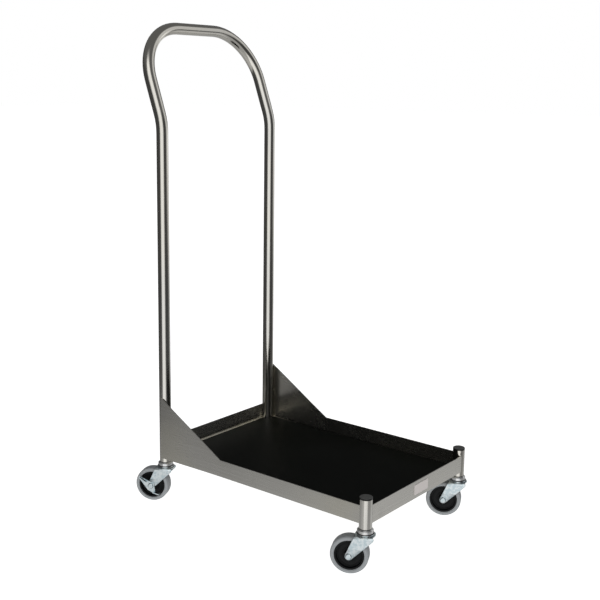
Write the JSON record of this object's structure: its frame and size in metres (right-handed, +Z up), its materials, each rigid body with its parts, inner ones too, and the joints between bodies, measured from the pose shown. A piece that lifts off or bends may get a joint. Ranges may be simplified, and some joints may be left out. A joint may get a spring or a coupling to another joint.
{
  "type": "platform trolley",
  "caption": "Small stainless platform trolley with a shallow matted tray, a tall leaning push handle and swivel casters, braked at the rear.",
  "frame": {"origin": "bottom centre of the whole cart's bounding box, on the floor", "axes": "+Z up, front towards -Y, push handle towards +Y, +X towards the left of a person who pushes it"},
  "size_m": [0.419, 0.6487, 1.0447],
  "materials": {
    "stainless_tube": "satin polished stainless tube",
    "stainless_sheet": "brushed stainless sheet",
    "mat": "satin black rubber",
    "label_plate": "satin anodised, blank",
    "cap": "dark grey plastic",
    "socket": "black nylon",
    "bright_zinc": "bright zinc plate",
    "blue_zinc": "blue-white zinc plate",
    "seal": "black",
    "bearing_steel": "ground steel",
    "hub": "black moulded plastic",
    "tyre": "grey non-marking rubber"
  },
  "bodies": {
    "root": {"handle_tube": "stainless_tube", "front_wall": "stainless_sheet", "rear_wall": "stainless_sheet", "tray_floor": "stainless_sheet", "deck_mat": "mat", "name_plate": "label_plate", "front_post_left": "stainless_tube", "front_post_right": "stainless_tube", "post_cap_left": "cap", "post_cap_right": "cap", "side_wall_left": "stainless_sheet", "side_wall_right": "stainless_sheet", "stem_socket_front_left": "socket", "swivel_stem_front_left": "bright_zinc", "race_seal_front_left": "seal", "stem_socket_front_right": "socket", "swivel_stem_front_right": "bright_zinc", "race_seal_front_right": "seal", "stem_socket_rear_left": "socket", "swivel_stem_rear_left": "bright_zinc", "race_seal_rear_left": "seal", "stem_socket_rear_right": "socket", "swivel_stem_rear_right": "bright_zinc", "race_seal_rear_right": "seal"},
    "swivel_front_left": {"fork_front_left": "blue_zinc", "swivel_balls_front_left": "bearing_steel", "axle_bolt_front_left": "bright_zinc", "axle_nut_front_left": "bright_zinc", "wheel_bush_front_left": "bearing_steel"},
    "wheel_front_left": {"wheel_hub_front_left": "hub", "tyre_front_left": "tyre"},
    "swivel_front_right": {"fork_front_right": "blue_zinc", "swivel_balls_front_right": "bearing_steel", "axle_bolt_front_right": "bright_zinc", "axle_nut_front_right": "bright_zinc", "wheel_bush_front_right": "bearing_steel"},
    "wheel_front_right": {"wheel_hub_front_right": "hub", "tyre_front_right": "tyre"},
    "swivel_rear_left": {"fork_rear_left": "blue_zinc", "swivel_balls_rear_left": "bearing_steel", "axle_bolt_rear_left": "bright_zinc", "axle_nut_rear_left": "bright_zinc", "wheel_bush_rear_left": "bearing_steel", "cam_washer_rear_left": "bright_zinc"},
    "wheel_rear_left": {"wheel_hub_rear_left": "hub", "tyre_rear_left": "tyre"},
    "brake_rear_left": {"brake_lever_rear_left": "blue_zinc"},
    "swivel_rear_right": {"fork_rear_right": "blue_zinc", "swivel_balls_rear_right": "bearing_steel", "axle_bolt_rear_right": "bright_zinc", "axle_nut_rear_right": "bright_zinc", "wheel_bush_rear_right": "bearing_steel", "cam_washer_rear_right": "bright_zinc"},
    "wheel_rear_right": {"wheel_hub_rear_right": "hub", "tyre_rear_right": "tyre"},
    "brake_rear_right": {"brake_lever_rear_right": "blue_zinc"}
  },
  "joints": [
    {"name": "swivel_turn_front_left", "type": "hinge", "parent": "root", "child": "swivel_front_left", "pos_m": [0.18594, -0.29914, 0.0835], "axis": [0, 0, 1], "continuous": true},
    {"name": "wheel_spin_front_left", "type": "hinge", "parent": "swivel_front_left", "child": "wheel_front_left", "pos_m": [0.17345, -0.27353, 0.0375], "axis": [-0.8988, -0.4384, 0], "continuous": true},
    {"name": "swivel_turn_front_right", "type": "hinge", "parent": "root", "child": "swivel_front_right", "pos_m": [-0.16206, -0.29914, 0.0835], "axis": [0, 0, 1], "continuous": true},
    {"name": "wheel_spin_front_right", "type": "hinge", "parent": "swivel_front_right", "child": "wheel_front_right", "pos_m": [-0.17455, -0.27353, 0.0375], "axis": [-0.8988, -0.4384, 0], "continuous": true},
    {"name": "swivel_turn_rear_left", "type": "hinge", "parent": "root", "child": "swivel_rear_left", "pos_m": [0.18594, 0.23886, 0.0835], "axis": [0, 0, 1], "continuous": true},
    {"name": "wheel_spin_rear_left", "type": "hinge", "parent": "swivel_rear_left", "child": "wheel_rear_left", "pos_m": [0.17345, 0.26447, 0.0375], "axis": [-0.8988, -0.4384, 0], "continuous": true},
    {"name": "brake_press_rear_left", "type": "hinge", "parent": "swivel_rear_left", "child": "brake_rear_left", "pos_m": [0.17345, 0.26447, 0.0375], "axis": [-0.8988, -0.4384, 0], "range_deg": [0, 25]},
    {"name": "swivel_turn_rear_right", "type": "hinge", "parent": "root", "child": "swivel_rear_right", "pos_m": [-0.16206, 0.23886, 0.0835], "axis": [0, 0, 1], "continuous": true},
    {"name": "wheel_spin_rear_right", "type": "hinge", "parent": "swivel_rear_right", "child": "wheel_rear_right", "pos_m": [-0.17455, 0.26447, 0.0375], "axis": [-0.8988, -0.4384, 0], "continuous": true},
    {"name": "brake_press_rear_right", "type": "hinge", "parent": "swivel_rear_right", "child": "brake_rear_right", "pos_m": [-0.17455, 0.26447, 0.0375], "axis": [-0.8988, -0.4384, 0], "range_deg": [0, 25]}
  ]
}
